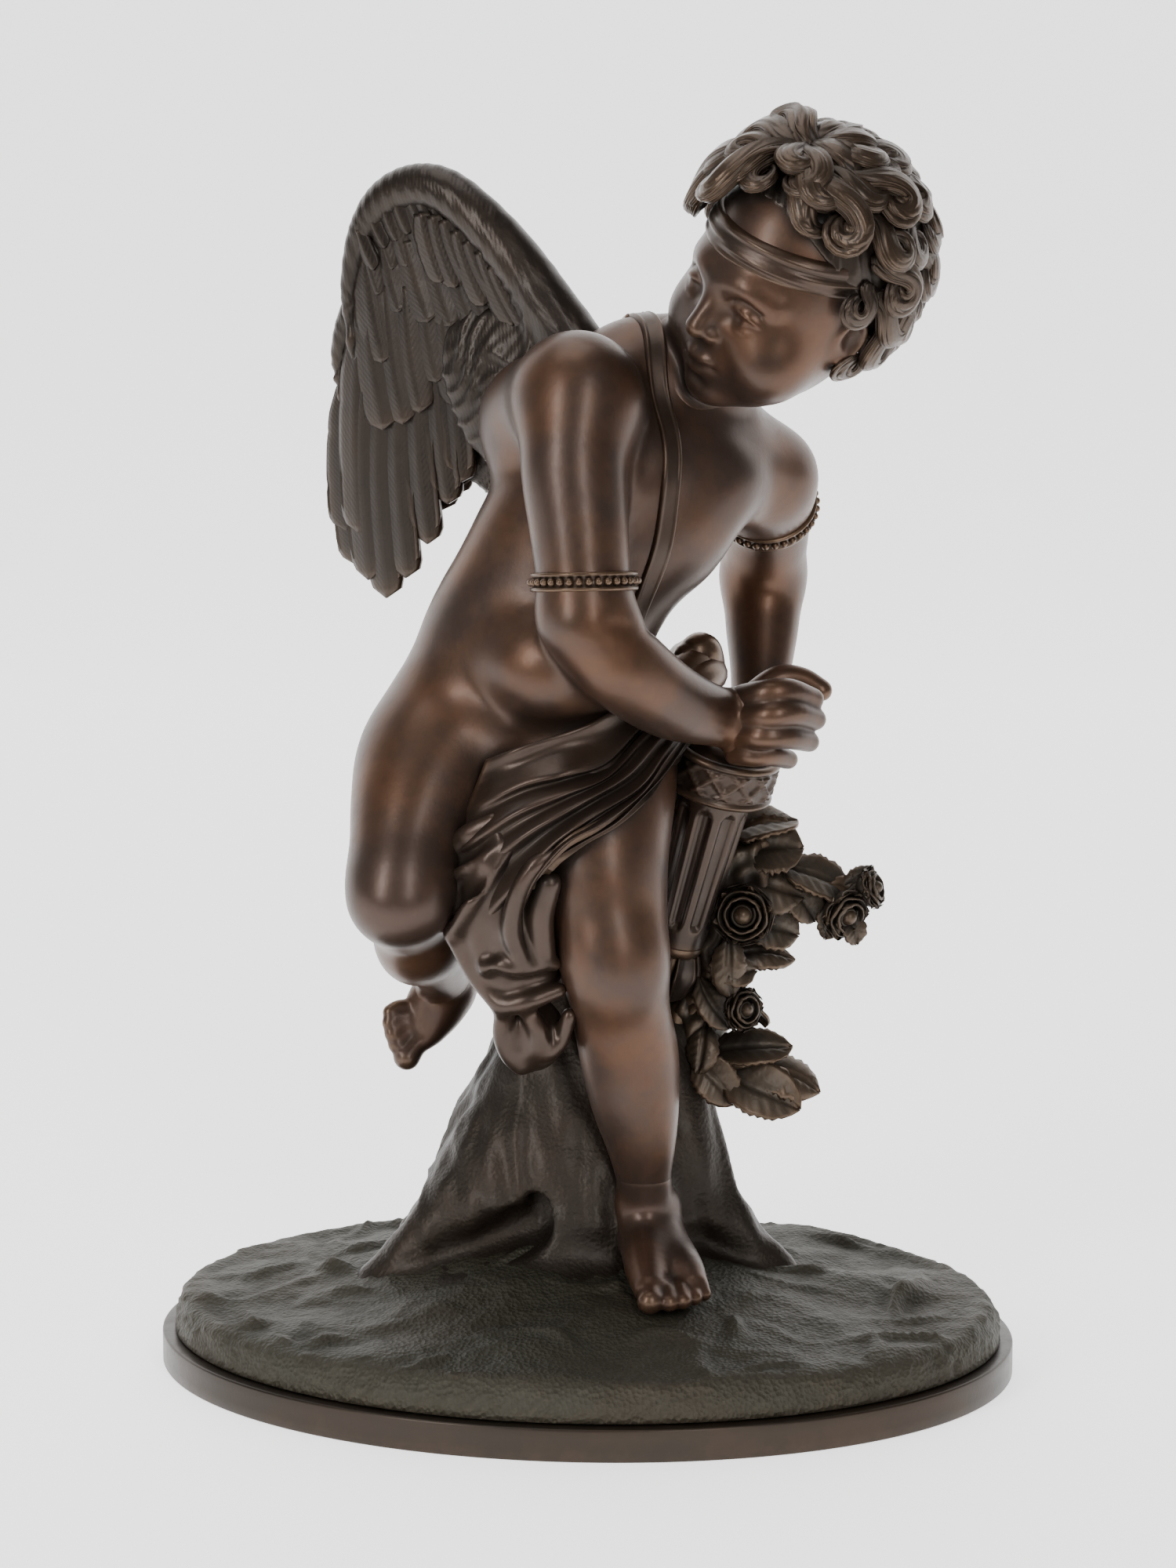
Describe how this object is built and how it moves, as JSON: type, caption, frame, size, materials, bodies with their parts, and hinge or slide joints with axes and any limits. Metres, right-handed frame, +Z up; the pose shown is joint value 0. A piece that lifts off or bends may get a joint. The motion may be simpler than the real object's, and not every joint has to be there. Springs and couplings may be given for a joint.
{
  "type": "cupid statue",
  "caption": "Cast bronze statuette of a running winged cupid with a quiver, leaning on a rose-grown tree stump, on a low oval plinth.",
  "frame": {"origin": "centre of the plinth's underside", "axes": "front of the figure towards -Y, viewer's right +X, +Z up"},
  "size_m": [0.301, 0.2282, 0.441],
  "materials": {
    "plinth_bronze": "smooth brown patina, rubbed copper edge",
    "bronze": "satin dark brown patina"
  },
  "bodies": {
    "root": {"plinth": "plinth_bronze", "cupid_group": "bronze"}
  },
  "joints": []
}
